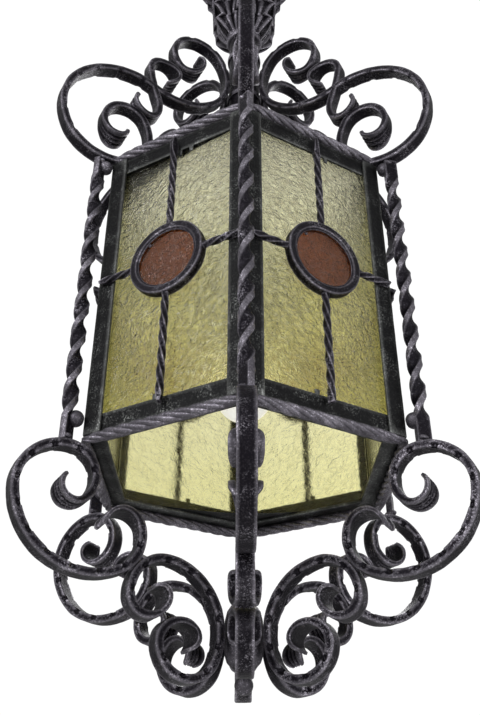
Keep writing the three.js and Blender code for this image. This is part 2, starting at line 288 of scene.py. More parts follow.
def chain(start, heading, arcs, step=5):
    """Points along tangent arcs of (radius in mm, turn in degrees), positive turns to the left."""
    x, y = start
    way = math.radians(heading)
    points = [(x, y)]
    for radius, turn in arcs:
        side = math.copysign(radius, turn)
        middle = (x - side * math.sin(way), y + side * math.cos(way))
        count = max(2, math.ceil(abs(turn) / step))
        for i in range(1, count + 1):
            a = way + math.radians(turn) * i / count
            x = middle[0] + side * math.sin(a)
            y = middle[1] - side * math.cos(a)
            points.append((x, y))
        way += math.radians(turn)
    return points


def arc_length(arcs):
    return sum(radius * abs(math.radians(turn)) for radius, turn in arcs) * MM


def bent(bar, start, heading, arcs):
    """Bends a straight bar along a chain of arcs and stands it up in the XZ plane."""
    path = bpy.data.curves.new("bending_path", "CURVE")
    path.dimensions = "2D"
    points = chain(start, heading, arcs)
    spline = path.splines.new("POLY")
    spline.points.add(len(points) - 1)
    for place, (x, y) in zip(spline.points, points):
        place.co = (x * MM, y * MM, 0, 1)
    guide = bpy.data.objects.new("bending_path", path)
    bpy.context.collection.objects.link(guide)
    modified(bar, "CURVE", object=guide, deform_axis="POS_X")
    bpy.data.objects.remove(guide)
    bar.data.transform(Matrix.Translation((0, 0, OPENING_BOTTOM)) @ Matrix.Rotation(math.pi / 2, 4, "X"))
    return bar


# ---------- finishes ----------
def link(tree, source, target):
    tree.links.new(source, target)


def node(tree, kind, **values):
    """Adds a shader node and sets its inputs by name."""
    made = tree.nodes.new(kind)
    for key, value in values.items():
        if key in made.inputs:
            made.inputs[key].default_value = value
        else:
            setattr(made, key, value)
    return made


def new_material(name):
    material = bpy.data.materials.new(name)
    material.use_nodes = True
    tree = material.node_tree
    return material, tree, tree.nodes["Principled BSDF"], node(tree, "ShaderNodeTexCoord").outputs["Object"]


def noise(tree, place, scale, detail=4.0, roughness=0.6, distortion=0.0):
    made = node(tree, "ShaderNodeTexNoise", Scale=scale, Detail=detail, Roughness=roughness,
                Distortion=distortion)
    link(tree, place, made.inputs["Vector"])
    return made.outputs["Fac"]


def ramp(tree, source, stops):
    """A colour ramp with stops of (position, colour or grey)."""
    made = tree.nodes.new("ShaderNodeValToRGB")
    elements = made.color_ramp.elements
    while len(elements) < len(stops):
        elements.new(0.5)
    for element, (position, colour) in zip(elements, stops):
        element.position = position
        grey = isinstance(colour, (int, float))
        element.color = (colour, colour, colour, 1) if grey else (*colour, 1)
    link(tree, source, made.inputs["Fac"])
    return made.outputs["Color"]


def maths(tree, operation, a, b, clamp=False):
    made = node(tree, "ShaderNodeMath", operation=operation, use_clamp=clamp)
    for socket, value in zip(made.inputs, (a, b)):
        if isinstance(value, (int, float)):
            socket.default_value = value
        else:
            link(tree, value, socket)
    return made.outputs[0]


def mixed(tree, amount, low, high):
    """Mixes two colours, each a socket or a plain colour."""
    made = node(tree, "ShaderNodeMix", data_type="RGBA")
    link(tree, amount, made.inputs["Factor"])
    for name, value in (("A", low), ("B", high)):
        socket = next(s for s in made.inputs if s.name == name and s.type == "RGBA")
        if isinstance(value, tuple):
            socket.default_value = (*value, 1)
        else:
            link(tree, value, socket)
    return next(s for s in made.outputs if s.type == "RGBA")


def bump(tree, shader, source, strength, distance):
    made = node(tree, "ShaderNodeBump", Strength=strength, Distance=distance)
    link(tree, source, made.inputs["Height"])
    link(tree, made.outputs["Normal"], shader.inputs["Normal"])


def rubbed_iron(name, dark=(0.007, 0.006, 0.0085), rubbed=(0.50, 0.47, 0.54), on_flats=0.72):
    """Blackened iron, dry-rubbed with graphite that stays on edges and hammer marks."""
    material, tree, shader, place = new_material(name)
    pointed = node(tree, "ShaderNodeNewGeometry").outputs["Pointiness"]
    edges = ramp(tree, pointed, ((0.508, 0.0), (0.548, 1.0)))
    patches = ramp(tree, noise(tree, place, 48, 3.0, 0.55), ((0.46, 0.08), (0.68, 1.0)))
    speckle = ramp(tree, noise(tree, place, 620, 5.0, 0.75), ((0.53, 0.0), (0.63, 1.0)))
    streaks = ramp(tree, noise(tree, place, 210, 6.0, 0.7, 0.8), ((0.55, 0.0), (0.70, 0.75)))
    grain = maths(tree, "ADD", speckle, maths(tree, "MULTIPLY", streaks, 0.6))
    flats = maths(tree, "MULTIPLY", patches, maths(tree, "MULTIPLY", grain, on_flats))
    kept = maths(tree, "MULTIPLY", maths(tree, "ADD", maths(tree, "MULTIPLY", grain, 0.6), 0.42),
                 maths(tree, "ADD", maths(tree, "MULTIPLY", patches, 0.5), 0.5))
    rub = maths(tree, "ADD", flats, maths(tree, "MULTIPLY", edges, kept), clamp=True)
    tone = mixed(tree, noise(tree, place, 17, 2.0), dark, tuple(2.2 * c for c in dark))
    link(tree, mixed(tree, rub, tone, rubbed), shader.inputs["Base Color"])
    link(tree, ramp(tree, rub, ((0.0, 0.50), (1.0, 0.34))), shader.inputs["Roughness"])
    shader.inputs["Metallic"].default_value = 0.7
    shader.inputs["Specular IOR Level"].default_value = 0.16
    pits = maths(tree, "MULTIPLY", noise(tree, place, 95, 3.0), 1.6)
    bump(tree, shader, maths(tree, "ADD", noise(tree, place, 380, 5.0, 0.7), pits), 0.5, 0.0008)
    return material


def cathedral_glass(name, pale, deep, edge):
    """Wrinkled glass with painted light and shade: painted paler towards the top and deeper towards the
    bottom, and with painted shade in the colour edge along the wrinkles' creases.
    """
    material, tree, shader, place = new_material(name)
    split = node(tree, "ShaderNodeSeparateXYZ")
    link(tree, place, split.inputs[0])
    rise = node(tree, "ShaderNodeMapRange")
    link(tree, split.outputs["Z"], rise.inputs["Value"])
    rise.inputs["From Min"].default_value = OPENING_BOTTOM
    rise.inputs["From Max"].default_value = OPENING_TOP
    up = maths(tree, "ADD", rise.outputs[0], maths(tree, "MULTIPLY", noise(tree, place, 14, 2.0), 0.25))
    # Painted light and shade: the pane's colour runs from deep at the bottom to pale at the top.
    body = ramp(tree, up, ((0.12, deep), (1.0, pale)))
    wrinkles = noise(tree, place, 120, 4.0, 0.6, 1.6)
    # Painted shade: darker lines in the colour edge along the wrinkles' creases, standing in for refraction
    # and reflection.
    creases = ramp(tree, wrinkles, ((0.44, 0.0), (0.50, 1.0), (0.56, 0.0)))
    flow = ramp(tree, noise(tree, place, 26, 3.0, 0.6, 2.0), ((0.40, 0.25), (0.62, 1.0)))
    painted_crease_shade = maths(tree, "MULTIPLY", maths(tree, "MULTIPLY", creases, flow), 0.38)
    link(tree, mixed(tree, painted_crease_shade, body, edge), shader.inputs["Base Color"])
    shader.inputs["Transmission Weight"].default_value = 1.0
    shader.inputs["Roughness"].default_value = 0.14
    shader.inputs["IOR"].default_value = 1.46
    bump(tree, shader, wrinkles, 0.75, 0.0021)
    return material


def opal(name):
    material, tree, shader, place = new_material(name)
    cloud = noise(tree, place, 40, 2.0)
    link(tree, mixed(tree, cloud, (0.86, 0.85, 0.81), (0.95, 0.94, 0.90)), shader.inputs["Base Color"])
    shader.inputs["Roughness"].default_value = 0.22
    shader.inputs["Subsurface Weight"].default_value = 0.3
    shader.inputs["Subsurface Radius"].default_value = (0.01, 0.009, 0.008)
    shader.inputs["Coat Weight"].default_value = 0.4
    # Painted light: a faint white glow on the unlit bulb, so that its shaded side stays white.
    shader.inputs["Emission Color"].default_value = (1.0, 0.98, 0.93, 1)
    shader.inputs["Emission Strength"].default_value = 0.45
    bump(tree, shader, noise(tree, place, 900, 2.0), 0.08, 0.0002)
    return material


def moulded_plastic(name):
    material, tree, shader, place = new_material(name)
    link(tree, mixed(tree, noise(tree, place, 60, 3.0), (0.012, 0.009, 0.007), (0.028, 0.021, 0.016)),
         shader.inputs["Base Color"])
    scuffs = noise(tree, place, 150, 4.0)
    link(tree, ramp(tree, scuffs, ((0.3, 0.32), (0.7, 0.5))), shader.inputs["Roughness"])
    bump(tree, shader, noise(tree, place, 1400, 2.0), 0.12, 0.0003)
    return material


def lamp_metal(name):
    material, tree, shader, place = new_material(name)
    link(tree, mixed(tree, noise(tree, place, 80, 3.0), (0.42, 0.40, 0.36), (0.62, 0.58, 0.50)),
         shader.inputs["Base Color"])
    scuffs = noise(tree, place, 300, 4.0)
    link(tree, ramp(tree, scuffs, ((0.3, 0.22), (0.7, 0.42))), shader.inputs["Roughness"])
    shader.inputs["Metallic"].default_value = 1.0
    bump(tree, shader, noise(tree, place, 500, 3.0), 0.15, 0.0003)
    return material


FORGED = rubbed_iron("forged_iron")
ROLLED = rubbed_iron("rolled_iron", dark=(0.007, 0.007, 0.0075), rubbed=(0.33, 0.34, 0.33), on_flats=0.80)
# Each glass gets its colour painted at the top, its colour painted at the bottom and its painted crease
# shade.
AMBER = cathedral_glass("amber_glass", (0.94, 0.915, 0.62), (0.95, 0.91, 0.45), (0.44, 0.36, 0.11))
RED = cathedral_glass("red_glass", (0.40, 0.125, 0.052), (0.32, 0.095, 0.042), (0.12, 0.03, 0.015))
OPAL = opal("opal_bulb")
PLASTIC = moulded_plastic("holder_plastic")
CAP_METAL = lamp_metal("bulb_cap")


# ---------- scrolled bars ----------
# Each bar follows a chain of arcs, given as (radius in mm, turn in degrees) from its start.
LOWER_OUTER_ARCS = [(13.5, -179), (28, -143), (44, -96), (71, -109), (34, -78), (19.5, -160)]
LOWER_INNER_ARCS = [(9.5, 120), (17.5, 169), (33, 102), (59, 107), (28.5, 154), (18.5, 142), (10.5, 110)]
UPPER_MAIN_ARCS = [(400, 1.2), (55, 68), (83, 111), (68, 31), (73, -145), (37, -182), (19, -196)]
UPPER_CROSSING_ARCS = [(19, -270), (235, -12), (40, 38), (16, 210)]
RAIL_CURL_ARCS = [(63, -75), (25.5, -111), (34, -73), (12.5, -160)]


def fishtail(bar, end, ribbed_side):
    """Flares, thins, grooves and rounds off one end of a straight bar. end is that end's X."""
    edit()
    for x in stations(bar):
        far = abs(x - end)
        if far >= TAIL_LENGTH:
            continue
        along = min(1.0, 1.45 * (1 - far / TAIL_LENGTH))
        fade = along * along * (3 - 2 * along)
        wide = 1 + (TAIL_WIDTH / BAR_WIDTH - 1) * fade
        thin = 1 + (TAIL_THICKNESS / BAR_THICKNESS - 1) * fade
        short = max(0.0, 1 - far / TAIL_ROUNDING)
        wide *= math.sqrt(1 - 0.62 * short * short)
        thin *= math.sqrt(1 - 0.55 * short ** 4)
        choose_ring(x)
        bpy.ops.transform.resize(value=(1, thin, wide), center_override=(x, 0, 0))
        depth = GROOVE_DEPTH * fade
        choose("VERT", lambda v: abs(v.co.x - x) < RING_GAP and v.co.y * ribbed_side > 0
               and in_groove(v.co.z / wide))
        bpy.ops.transform.translate(value=(0, -depth * ribbed_side, 0))
    outward()
    done()


def in_groove(z):
    """True for the columns of a bar that lie in one of its three grooves."""
    flat = BAR_WIDTH - 2 * BAR_EDGE
    column = round((z / flat + 0.5) * 8)
    return abs(z) < flat / 2 and column in (2, 4, 6)


def nicked(bar, start, stop, side):
    """Chisel nicks at an even spacing along both narrow faces, towards the bar's inner side.
    side is +1 or -1 for full nicks and nearer to nought for lighter ones."""
    edit()
    marks = [x for i, x in enumerate(stations(bar)) if i % NICK_SPACING < 2 and start < x < stop]
    near = BAR_WIDTH / 2 - BAR_EDGE - 0.1 * MM
    choose("VERT", lambda v: abs(v.co.z) > near and v.co.y * side > 0.5 * MM
           and any(abs(v.co.x - x) < RING_GAP for x in marks))
    depth = NICK_DEPTH * abs(side)
    bpy.ops.transform.resize(value=(1, 1 - 0.9 * depth / BAR_THICKNESS, 1 - 2 * depth / BAR_WIDTH),
                             center_override=(0, 0, 0))
    done()


def scroll(start, heading, arcs, tails, nick_side):
    """A forged bar: fishtailed at the start and/or the end, nicked, then bent."""
    length = arc_length(arcs)
    bar = straight_bar(length, BAR_WIDTH, BAR_THICKNESS, BAR_EDGE, BAR_STEP, columns=8, rows=3)
    if tails[0]:
        fishtail(bar, 0.0, -math.copysign(1, arcs[0][1]))
    if tails[1]:
        fishtail(bar, length, -math.copysign(1, arcs[-1][1]))
    if nick_side:
        nicked(bar, TAIL_LENGTH, length - TAIL_LENGTH, nick_side)
    return bent(bar, start, heading, arcs)


def forge_finish(obj):
    hammered(obj)
    smooth(obj, 38)


def lower_scrolls():
    outer = scroll((184, -62), -38, LOWER_OUTER_ARCS, (True, True), -1)
    weld = weld_bead(111 * MM, 0, height(-132), 11 * MM, 13 * MM, 13 * MM)
    outer = joined([outer, weld], "outer")
    round_the_lantern(outer, "lower_outer_scroll_bar", "lower_outer_scroll", corner_angle, FORGED,
                      finish=forge_finish)
    inner = scroll((94.3, -148.3), 156, LOWER_INNER_ARCS, (True, True), 1)
    round_the_lantern(inner, "lower_inner_scroll_bar", "lower_inner_scroll", corner_angle, FORGED,
                      finish=forge_finish)


def upper_scrolls():
    main = scroll((168, 323.5), -7.2, UPPER_MAIN_ARCS, (False, True), 0.5)
    crossing = scroll((117, 481.5), 171, UPPER_CROSSING_ARCS, (True, True), 0)
    curl = scroll((152, 324.5), 136, RAIL_CURL_ARCS, (False, True), 0)
    round_the_lantern(joined([main, crossing, curl], "upper_scroll_bars"), "upper_scroll_bars",
                      "upper_scroll", corner_angle, FORGED, finish=forge_finish)


# ---------- twisted corner bars ----------
def upright(bar, x, y, z):
    """Turns a bar that lies along +X to stand up along +Z from the point x, y, z."""
    bar.data.transform(Matrix.Translation((x, y, z)) @ Matrix.Rotation(-math.pi / 2, 4, "Y"))
    return bar


def twisted(bar, length, turns, plain_start, plain_end):
    return modified(bar, "SIMPLE_DEFORM", deform_method="TWIST", deform_axis="X",
                    angle=turns * 2 * math.pi, limits=(plain_start / length, 1 - plain_end / length))


def forged_ball(x, z, radius):
    """A ball welded between two bars, a little flattened where it touches them."""
    bpy.ops.mesh.primitive_uv_sphere_add(segments=24, ring_count=14, radius=radius, location=(x, 0, z))
    edit()
    choose("VERT", lambda v: abs(v.co.x) > 0.9 * radius)
    bpy.ops.transform.resize(value=(0.95, 1, 1), center_override=(x, 0, z))
    done()
    return placed(bpy.context.object, "ball")


def weld_bead(x, y, z, wide, deep, tall):
    """A run of weld: a row of overlapping drops."""
    bpy.ops.mesh.primitive_uv_sphere_add(segments=14, ring_count=8, radius=0.5, location=(x, y, z))
    bead = sized((deep, wide, tall), "bead")
    edit()
    bpy.ops.mesh.select_all(action="SELECT")
    bpy.ops.mesh.subdivide(number_cuts=1)
    done()
    return bead


def twisted_corner_bars():
    low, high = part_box("twisted_corner_bar_1")
    length = high.z - low.z
    bar = straight_bar(length, TWIST_WIDTH, TWIST_THICKNESS, 0.8 * MM, 1.6 * MM, columns=8)
    bar.data.transform(Matrix.Rotation(math.pi / 2, 4, "X"))
    turns = round(2 * (length - 2 * TWIST_PLAIN) / TWIST_PITCH) / 2
    twisted(bar, length, turns, TWIST_PLAIN, TWIST_PLAIN)
    upright(bar, TWIST_R, 0, low.z)
    balls = [forged_ball(CORNER_R + BALL_R + 0.3 * MM, height(z), BALL_R) for z in BALL_HEIGHTS]
    foot = weld_bead(TWIST_R, 0, low.z + 3 * MM, 17 * MM, 10 * MM, 7 * MM)
    head = weld_bead(TWIST_R - 1 * MM, 0, high.z - 3 * MM, 15 * MM, 9 * MM, 7 * MM)
    model = joined([bar, *balls, foot, head], "twisted_bar")
    round_the_lantern(model, "twisted_bar_and_balls", "twisted_corner_bar", corner_angle, FORGED,
                      finish=lambda obj: smooth(hammered(obj, 0.4 * MM), 30))


# ---------- turned, spun and worked pieces ----------
def turned(profile, segments=40):
    """A piece turned about Z, drawn as (radius, height) in millimetres from one closed end to the other."""
    radius, low = profile[0]
    bpy.ops.mesh.primitive_circle_add(vertices=segments, radius=radius * MM, fill_type="NGON",
                                      location=(0, 0, height(low)))
    edit()
    bpy.ops.mesh.select_all(action="SELECT")
    for (r, z), (next_r, next_z) in zip(profile, profile[1:]):
        rise = (next_z - z) * MM
        bpy.ops.mesh.extrude_region_move(TRANSFORM_OT_translate={"value": (0, 0, rise)})
        grow = next_r / r
        bpy.ops.transform.resize(value=(grow, grow, 1), center_override=(0, 0, height(next_z)))
    outward()
    done()
    return placed(bpy.context.object, "turned")


def arc(radius, z, start, stop, count):
    """(radius, height) points on a circle about the point z on the axis, angles in degrees from level."""
    angles = [math.radians(start + (stop - start) * i / count) for i in range(count + 1)]
    return [(max(0.3, radius * math.cos(a)), z + radius * math.sin(a)) for a in angles]


def hoop(radius, wide, deep, soften, steps=64):
    """A ring about Z of a flat section, wide across and deep along Z, with softened corners."""
    bpy.ops.mesh.primitive_plane_add(size=1, location=(radius, 0, 0), rotation=(math.pi / 2, 0, 0))
    sized((wide, deep, 1), "hoop")
    edit()
    bpy.ops.mesh.select_all(action="SELECT")
    bpy.ops.mesh.bevel(offset=soften, segments=3, affect="VERTICES")
    bpy.ops.mesh.select_all(action="SELECT")
    bpy.ops.mesh.delete(type="ONLY_FACE")
    choose("EDGE", lambda e: e.calc_length() > soften)
    bpy.ops.mesh.subdivide(number_cuts=4)
    bpy.ops.mesh.select_all(action="SELECT")
    bpy.ops.mesh.spin(steps=steps, angle=2 * math.pi, center=(0, 0, 0), axis=(0, 0, 1))
    outward()
    done()
    return placed(bpy.context.object, "hoop")


def facing_x(obj, x, z):
    """Turns a piece made about Z so that its axis runs along X, and moves it there."""
    obj.data.transform(Matrix.Translation((x, 0, z)) @ Matrix.Rotation(math.pi / 2, 4, "Y"))
    return obj


def worked_copy(cad_name, name, edge, step):
    """A piece of its node's shape with broken edges, its flats divided so that they can be uneven."""
    copy = bpy.data.objects.new(name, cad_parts[cad_name].data.copy())
    bpy.context.collection.objects.link(copy)
    only(copy)
    edit()
    bpy.ops.mesh.select_all(action="SELECT")
    bpy.ops.mesh.remove_doubles(threshold=0.00002)
    bpy.ops.mesh.dissolve_limited(angle_limit=math.radians(2))
    choose("EDGE", lambda e: e.calc_face_angle(0) > math.radians(20))
    bpy.ops.mesh.bevel(offset=edge, segments=2, affect="EDGES")
    long_enough = 100 * MM
    choose("EDGE", lambda e: e.calc_length() > long_enough)
    bpy.ops.mesh.subdivide(number_cuts=round(SIDE_LENGTH / step))
    choose("EDGE", lambda e: long_enough > e.calc_length() > 2 * step)
    bpy.ops.mesh.subdivide(number_cuts=4)
    done()
    return copy


# ---------- rails, posts and rope trim ----------
def rails():
    for place_of in ("bottom", "top"):
        rail = worked_copy(f"{place_of}_rail", f"{place_of}_rail_angle_iron", 0.7 * MM, 4 * MM)
        hammered(rail, ROLLED_MARKS)
        fit_out(smooth(rail, 38), ROLLED, "lantern", "wrought_iron", f"{place_of}_rail")


def posts():
    for i in range(1, SIDES + 1):
        post = worked_copy(f"corner_post_{i}", f"corner_post_angle_iron_{i}", 0.8 * MM, 4 * MM)
        hammered(post, ROLLED_MARKS)
        fit_out(smooth(post, 38), ROLLED, "lantern", "wrought_iron", f"corner_post_{i}")


def rope_side():
    """One side's length of trim: strands laid together along X and drawn in at both ends."""
    strand_r = 0.52 * ROPE_R
    bpy.ops.mesh.primitive_cylinder_add(vertices=10, radius=strand_r, depth=SIDE_LENGTH,
                                        end_fill_type="NGON", rotation=(0, math.pi / 2, 0),
                                        location=(0, 0, ROPE_R - strand_r))
    strand = placed(bpy.context.object, "strand")
    edit()
    choose("EDGE", runs_along(0))
    bpy.ops.mesh.subdivide(number_cuts=56)
    done()
    strands = [strand]
    for i in range(1, ROPE_STRANDS):
        other = strand.copy()
        other.data = strand.data.copy()
        other.data.transform(Matrix.Rotation(i * 2 * math.pi / ROPE_STRANDS, 4, "X"))
        bpy.context.collection.objects.link(other)
        strands.append(other)
    rope = joined(strands, "rope")
    twisted(rope, SIDE_LENGTH, SIDE_LENGTH / ROPE_PITCH, 0, 0)
    only(rope)
    edit()
    drawn_in = 26 * MM
    for x in stations(rope):
        left = (SIDE_LENGTH / 2 - abs(x)) / drawn_in
        if left < 1:
            choose_ring(x)
            thin = 0.5 + 0.5 * left ** 0.6
            bpy.ops.transform.resize(value=(1, thin, thin), center_override=(x, 0, 0))
    done()
    return rope


def rope_trims():
    for place_of in ("bottom", "top"):
        low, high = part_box(f"{place_of}_rope_trim")
        lift = 1.2 * MM if place_of == "bottom" else 0
        sides = []
        for i in range(SIDES):
            rope = rope_side()
            rope.data.transform(Matrix.Rotation(side_angle(i), 4, "Z")
                                @ Matrix.Translation((APOTHEM - 2 * MM, 0, (low.z + high.z) / 2 + lift))
                                @ Matrix.Rotation(math.pi / 2, 4, "Z"))
            sides.append(rope)
        trim = hammered(joined(sides, f"{place_of}_rope_of_twisted_rods"), 0.6 * MM)
        fit_out(smooth(trim, 60), FORGED, "lantern", "wrought_iron", f"{place_of}_rope_trim")


# ---------- glass ----------
GLASS_WRINKLES = bpy.data.textures.new("glass_wrinkles", "CLOUDS")
GLASS_WRINKLES.noise_scale = 0.0085
GLASS_WRINKLES.noise_depth = 3
GLASS_WRINKLES.noise_type = "HARD_NOISE"


def backed(sheet, thickness):
    """Closes a wrinkled sheet that faces +X with a smooth flat back."""
    only(sheet)
    edit()
    bpy.ops.mesh.select_mode(type="EDGE")
    bpy.ops.mesh.select_all(action="DESELECT")
    bpy.ops.mesh.select_non_manifold()
    bpy.ops.mesh.extrude_region_move(TRANSFORM_OT_translate={"value": (-thickness, 0, 0)})
    back = min(v.co.x for v in bmesh.from_edit_mesh(sheet.data).verts if v.select)
    bpy.ops.transform.resize(value=(0, 1, 1), center_override=(back, 0, 0))
    bpy.ops.mesh.edge_face_add()
    bpy.ops.mesh.select_all(action="SELECT")
    bpy.ops.mesh.normals_make_consistent(inside=False)
    done()
    return sheet


def wrinkled(sheet, depth):
    return modified(sheet, "DISPLACE", texture=GLASS_WRINKLES, texture_coords="LOCAL", strength=depth,
                    mid_level=0.5)


def glass_panes():
    """A pane for each side, wrinkled outside and smooth inside."""
    low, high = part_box("glass_pane_1")
    tall = high.z - low.z
    face = APOTHEM - GLASS_SET_BACK
    wide = 2 * ((face - GLASS_THICKNESS) * math.tan(SECTOR / 2) - 1.5 * MM)
    for i in range(SIDES):
        bpy.ops.mesh.primitive_grid_add(x_subdivisions=150, y_subdivisions=76, size=1,
                                        location=(face, 0, (low.z + high.z) / 2),
                                        rotation=(0, math.pi / 2, 0))
        sheet = sized((tall, wide, 1), "sheet")
        sheet.data.transform(Matrix.Rotation(side_angle(i), 4, "Z"))
        wrinkled(sheet, 1.1 * MM)
        sheet.data.transform(Matrix.Rotation(-side_angle(i), 4, "Z"))
        backed(sheet, GLASS_THICKNESS - 0.8 * MM)
        sheet.data.transform(Matrix.Rotation(side_angle(i), 4, "Z"))
        pane = placed(sheet, f"wrinkled_glass_pane_{i + 1}")
        fit_out(smooth(pane, 50), AMBER, "lantern", "amber_glass", f"glass_pane_{i + 1}")


def red_lights():
    """A round of red glass for each side."""
    for i in range(SIDES):
        bpy.ops.mesh.primitive_circle_add(vertices=56, radius=RED_R, fill_type="NGON",
                                          rotation=(0, math.pi / 2, 0),
                                          location=(APOTHEM + RED_PROUD, 0, height(CROSS_HEIGHT)))
        disc = placed(bpy.context.object, "disc")
        edit()
        bpy.ops.mesh.select_all(action="SELECT")
        for _ in range(14):
            bpy.ops.mesh.inset(thickness=2.2 * MM)
        done()
        disc.data.transform(Matrix.Rotation(side_angle(i), 4, "Z"))
        wrinkled(disc, 0.9 * MM)
        disc.data.transform(Matrix.Rotation(-side_angle(i), 4, "Z"))
        backed(disc, GLASS_THICKNESS - 0.9 * MM)
        disc.data.transform(Matrix.Rotation(side_angle(i), 4, "Z"))
        light = placed(disc, f"round_red_light_{i + 1}")
        fit_out(smooth(light, 50), RED, "lantern", "red_glass", f"red_light_{i + 1}")


# ---------- ring and glazing bars ----------
def glazing_bar(length, leaf):
    """A twisted square bar along X, blunt at its start; at its end blunt or hammered out to a leaf."""
    bar = straight_bar(length, GLAZING_BAR, GLAZING_BAR, 0.5 * MM, 1.6 * MM, columns=4, rows=4)
    plain = 24 * MM if leaf else 7 * MM
    edit()
    for x in stations(bar):
        into = (x - (length - plain)) / plain
        if into <= 0:
            continue
        swell = 1 + 0.45 * math.sin(math.pi * min(1, into * 1.15)) if leaf else 1 + 0.2 * into
        tip = 1 - 0.55 * into ** 3 if leaf else 1
        thin = 1 - 0.5 * into
        choose_ring(x)
        bpy.ops.transform.resize(value=(1, thin, swell * tip), center_override=(x, 0, 0))
    done()
    twist = length - plain - 4 * MM
    turns = max(1, round(2 * twist / GLAZING_PITCH)) / 2
    return twisted(bar, length, -turns, 4 * MM, plain)


def glazing_cross():
    """The ring with its raised rim and the four bars welded to it, facing +X."""
    depth = RING_FRONT - RING_BACK
    middle = (RING_OUTER_R + RING_INNER_R) / 2
    centre = height(CROSS_HEIGHT)
    at_bar = APOTHEM + 3.3 * MM
    ring = facing_x(hoop(middle, RING_OUTER_R - RING_INNER_R, depth, 1.4 * MM),
                    APOTHEM + (RING_FRONT + RING_BACK) / 2, centre)
    lip = facing_x(hoop(RED_R - 0.3 * MM, 1.8 * MM, 1.6 * MM, 0.5 * MM), APOTHEM + 5.6 * MM, centre)
    dab = weld_bead(APOTHEM + 5.4 * MM, -0.62 * RED_R, centre + 0.66 * RED_R, 3.6 * MM, 2.4 * MM, 3.2 * MM)
    start = RING_OUTER_R - 2.5 * MM
    pieces = [ring, lip, dab]
    for turn, reach, leaf in ((0, 166 * MM, True), (180, 159 * MM, False), (90, 82 * MM, False),
                              (-90, 82 * MM, False)):
        bar = glazing_bar(reach - start, leaf)
        at_cross = (Matrix.Translation((at_bar, 0, centre))
                    @ Matrix.Rotation(math.radians(turn), 4, "X"))
        bar.data.transform(at_cross @ Matrix.Rotation(-math.pi / 2, 4, "Y")
                           @ Matrix.Translation((start, 0, 0)))
        pieces.append(bar)
        foot = weld_bead(0, 0, 0, 8 * MM, 6 * MM, 5 * MM)
        foot.data.transform(at_cross @ Matrix.Translation((0, 0, RING_OUTER_R)))
        pieces.append(foot)
    return joined(pieces, "glazing_cross")


def glazing():
    round_the_lantern(glazing_cross(), "ring_and_twisted_glazing_bars", "ring_and_glazing_bars", side_angle,
                      FORGED, finish=lambda obj: smooth(hammered(obj, 0.5 * MM), 38))


def glass_clips():
    """Two bent lugs under the top rail and one on the bottom rail hold each pane."""
    lugs = []
    for across, low, tall in ((3, 293, 10), (17, 294, 9), (-10, -3, 8)):
        middle = (APOTHEM - 4.4 * MM, across * MM, height(low + tall / 2))
        bpy.ops.mesh.primitive_cube_add(size=1, location=middle)
        sized((1.8 * MM, 5.5 * MM, tall * MM), "lug")
        edit()
        lower = height(low)
        choose("EDGE", lambda e: all(abs(v.co.z - lower) < 0.0001 for v in e.verts))
        bpy.ops.transform.resize(value=(1, 0.75, 1), center_override=(0, across * MM, 0))
        bpy.ops.mesh.select_all(action="SELECT")
        bpy.ops.mesh.bevel(offset=0.6 * MM, segments=2, affect="EDGES")
        done()
        lugs.append(bpy.context.object)
    round_the_lantern(joined(lugs, "lugs"), "glass_clips", None, side_angle, ROLLED,
                      finish=lambda obj: smooth(obj, 38))


# ---------- hub, stem and leaf crown ----------
def lower_hub():
    ball = arc(8.5, -221, -88, 62, 12)
    body = [(4.2, -212.5), (7, -209), (12, -205.5), (15.5, -201.5), (17.5, -195), (18.2, -180),
            (17.5, -165), (15.5, -157), (12, -152), (7, -148.8), (0.5, -147.2)]
    hub = turned(ball + body)
    placed(hub, "lower_hub_and_finial")
    fit_out(smooth(hammered(hub, 0.8 * MM), 38), FORGED, "lantern", "wrought_iron", "lower_hub")


def stem():
    """Pipe with forged collars, the wire tube below it and the eye on top."""
    tube = [(5, 178), (6.2, 178.2), (6.5, 179)] + [(6.5, 200 + 43 * i) for i in range(7)]
    pipe = [(7, 458.5), (12, 461), (19, 466), (20.7, 468), (21, 470)]
    bands = [(r, z + base) for base in (486, 520, 600, 690, 752)
             for r, z in ((20.6, -4), (22.6, -3.4), (23, 0), (22.6, 3.4), (20.6, 4))]
    top = [(20.8, 780), (19.5, 785), (16, 788), (8.5, 791.5), (5, 792)]
    turned_part = turned(tube + pipe + bands + top)
    low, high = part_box("stem")
    bpy.ops.mesh.primitive_torus_add(major_segments=56, minor_segments=16, major_radius=EYE_R,
                                     minor_radius=ROD_R, rotation=(math.pi / 2, 0, 0),
                                     location=(0, 0, high.z - EYE_R - ROD_R))
    eye = placed(bpy.context.object, "eye")
    edit()
    foot = high.z - 42 * MM
    choose("VERT", lambda v: v.co.z < foot)
    bpy.ops.transform.resize(value=(1, 1.25, 1), center_override=(0, 0, foot))
    done()
    weld = weld_bead(0, 0, high.z - 49 * MM, 18 * MM, 20 * MM, 7 * MM)
    whole = joined([turned_part, eye, weld], "stem_pipe_and_eye")
    fit_out(smooth(hammered(whole, 0.7 * MM), 38), FORGED, "lantern", "wrought_iron", "stem")


def leaf_half_width(t):
    """Half width in millimetres of a leaf at t from foot to tip: a swelling body cut into pointed lobes."""
    body = 8 + 15.5 * abs(math.sin(math.pi * (0.10 + 0.88 * t))) ** 0.75
    lobe = (t * 4.6) % 1.0
    cut = 0.62 + 0.52 * lobe ** 1.4
    tip = max(0.0, (t - 0.86) / 0.14)
    return body * cut * (1 - 0.93 * tip ** 1.5)


